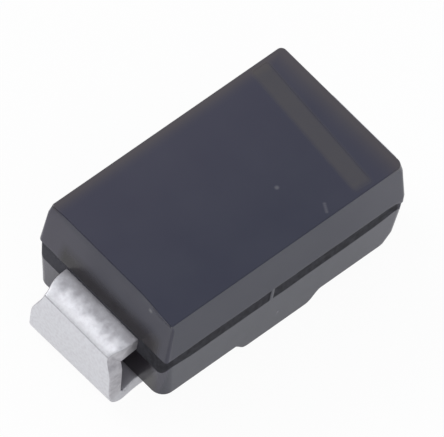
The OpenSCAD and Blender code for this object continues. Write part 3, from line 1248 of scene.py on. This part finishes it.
def add_floor(stage):
    """The floor that the feet stand on."""
    bm = bmesh.new()
    bmesh.ops.create_grid(bm, x_segments=1, y_segments=1, size=stage.floor/2)
    mesh = bpy.data.meshes.new("floor")
    bm.to_mesh(mesh)
    bm.free()
    mesh.materials.append(floor_material(stage))
    floor = bpy.data.objects.new("floor", mesh)
    bpy.context.scene.collection.objects.link(floor)


def add_sky(stage):
    """Soft light from all round, a little blue, and brighter overhead and towards the cathode end."""
    world = bpy.data.worlds.new("studio")
    world.use_nodes = True
    tree = world.node_tree
    tree.nodes.clear()
    toward = add_node(tree, "ShaderNodeTexCoord").outputs["Generated"]
    facing = add_node(tree, "ShaderNodeVectorMath", {0: toward, 1: SKY_BRIGHTEST}, operation="DOT_PRODUCT")
    strength = spread(
        tree, facing.outputs["Value"], *SKY_SPAN, stage.horizon, stage.sky, interpolation_type="SMOOTHSTEP",
    )
    sky = add_node(tree, "ShaderNodeBackground", {"Color": with_alpha(SKY_TINT), "Strength": strength})
    add_node(tree, "ShaderNodeOutputWorld", {"Surface": sky.outputs["Background"]})
    bpy.context.scene.world = world


def add_lamp(lamp, light):
    """A square soft lamp that faces the part. Light is what it gives a white face turned to it."""
    data = bpy.data.lights.new(lamp.name, "AREA")
    data.size = lamp.side
    data.energy = light*(math.pi*lamp.away)**2
    holder = bpy.data.objects.new(lamp.name, data)
    spot = Vector(lamp.toward).normalized()*lamp.away
    holder.matrix_world = Matrix.Translation(spot) @ spot.to_track_quat("Z", "Y").to_matrix().to_4x4()
    holder.visible_camera = False
    bpy.context.scene.collection.objects.link(holder)


def add_camera(stage):
    """The camera at the photograph's viewing angle."""
    right = Vector((math.cos(stage.azimuth), math.sin(stage.azimuth), 0))
    flat = math.cos(stage.elevation)
    back = Vector((math.sin(stage.azimuth)*flat, -math.cos(stage.azimuth)*flat, math.sin(stage.elevation)))
    up = back.cross(right)
    cos, sin = math.cos(stage.roll), math.sin(stage.roll)
    tilted_right = cos*right - sin*up
    tilted_up = sin*right + cos*up
    data = bpy.data.cameras.new("camera")
    data.sensor_width = SENSOR
    data.lens = data.sensor_width*stage.range/stage.picture
    data.clip_start = stage.range*CLIP_NEAREST
    data.clip_end = stage.range*CLIP_FURTHEST
    camera = bpy.data.objects.new("camera", data)
    spot = Vector(stage.aim) + back*stage.range + tilted_right*stage.aside + tilted_up*stage.above
    turn = Matrix((tilted_right, tilted_up, back)).transposed().to_4x4()
    camera.matrix_world = Matrix.Translation(spot) @ turn
    bpy.context.scene.collection.objects.link(camera)
    bpy.context.scene.camera = camera


# Operators


class DIODE_OT_stage(Operator):
    """Set up the floor, the light and the camera"""

    bl_idname = "diode.stage"
    bl_label = "Stage"

    def execute(self, context):
        stage = context.scene.diode_stage
        context.scene.view_settings.view_transform = "Standard"
        add_floor(stage)
        add_sky(stage)
        for lamp in LAMPS:
            add_lamp(lamp, getattr(stage, lamp.setting))
        add_camera(stage)
        return {"FINISHED"}


class DIODE_OT_moulded_body(Operator):
    """Build the moulded body over its solid"""

    bl_idname = "diode.moulded_body"
    bl_label = "Moulded body"

    def execute(self, context):
        finish = context.scene.diode_finish
        size = millimetres(context.scene.diode_body)
        materials = [epoxy_material(finish, size), parting_material(finish)]
        add_piece(body_mesh(size), "body_moulding", "moulded_body", materials)
        return {"FINISHED"}


class DIODE_OT_terminals(Operator):
    """Build the two folded terminals over their solids"""

    bl_idname = "diode.terminals"
    bl_label = "Terminals"

    def execute(self, context):
        finish = context.scene.diode_finish
        size = millimetres(context.scene.diode_terminals)
        materials = [rolled_tin_material(finish), sheared_tin_material(finish)]
        for name, node, level, side in (
            ("anode_strip", "anode_terminal", 1, -1),
            ("cathode_strip", "cathode_terminal", -1, 1),
        ):
            add_piece(terminal_mesh(size, level, side), name, node, materials)
        return {"FINISHED"}


class DIODE_OT_chip_stack(Operator):
    """Give the chip and its solder layers their finishes"""

    bl_idname = "diode.chip_stack"
    bl_label = "Chip and solder"

    def execute(self, context):
        finish = context.scene.diode_finish
        solder = solder_material(finish)
        finishes = {
            "silicon_chip": silicon_material(finish),
            "upper_solder": solder,
            "lower_solder": solder,
        }
        for node, material in finishes.items():
            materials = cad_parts[node].data.materials
            materials.clear()
            materials.append(material)
        return {"FINISHED"}


class DIODE_PT_build(Panel):
    """Lists the diode's build steps and sizes"""

    bl_idname = "DIODE_PT_build"
    bl_label = "Surface-mount diode"
    bl_space_type = "VIEW_3D"
    bl_region_type = "UI"
    bl_category = "Diode"

    def draw(self, context):
        for operator in OPERATORS:
            self.layout.operator(operator.bl_idname)
        for name in GROUPS:
            group = getattr(context.scene, name)
            box = self.layout.box()
            box.label(text=group.bl_rna.description)
            for prop in own_properties(group):
                box.prop(group, prop.identifier)


OPERATORS = (DIODE_OT_stage, DIODE_OT_moulded_body, DIODE_OT_terminals, DIODE_OT_chip_stack)
GROUPS = {
    "diode_body": DiodeBodySizes,
    "diode_terminals": DiodeTerminalSizes,
    "diode_finish": DiodeFinish,
    "diode_stage": DiodeStage,
}


def register():
    for made in (*GROUPS.values(), *OPERATORS, DIODE_PT_build):
        bpy.utils.register_class(made)
    for name, group in GROUPS.items():
        setattr(bpy.types.Scene, name, PointerProperty(type=group))


def unregister():
    for name in GROUPS:
        delattr(bpy.types.Scene, name)
    for made in (DIODE_PT_build, *reversed(OPERATORS), *reversed(GROUPS.values())):
        bpy.utils.unregister_class(made)


def main():
    """Builds the part on its stage."""
    register()
    bpy.ops.diode.stage()
    bpy.ops.diode.moulded_body()
    bpy.ops.diode.terminals()
    bpy.ops.diode.chip_stack()


if __name__ == "__main__":
    main()
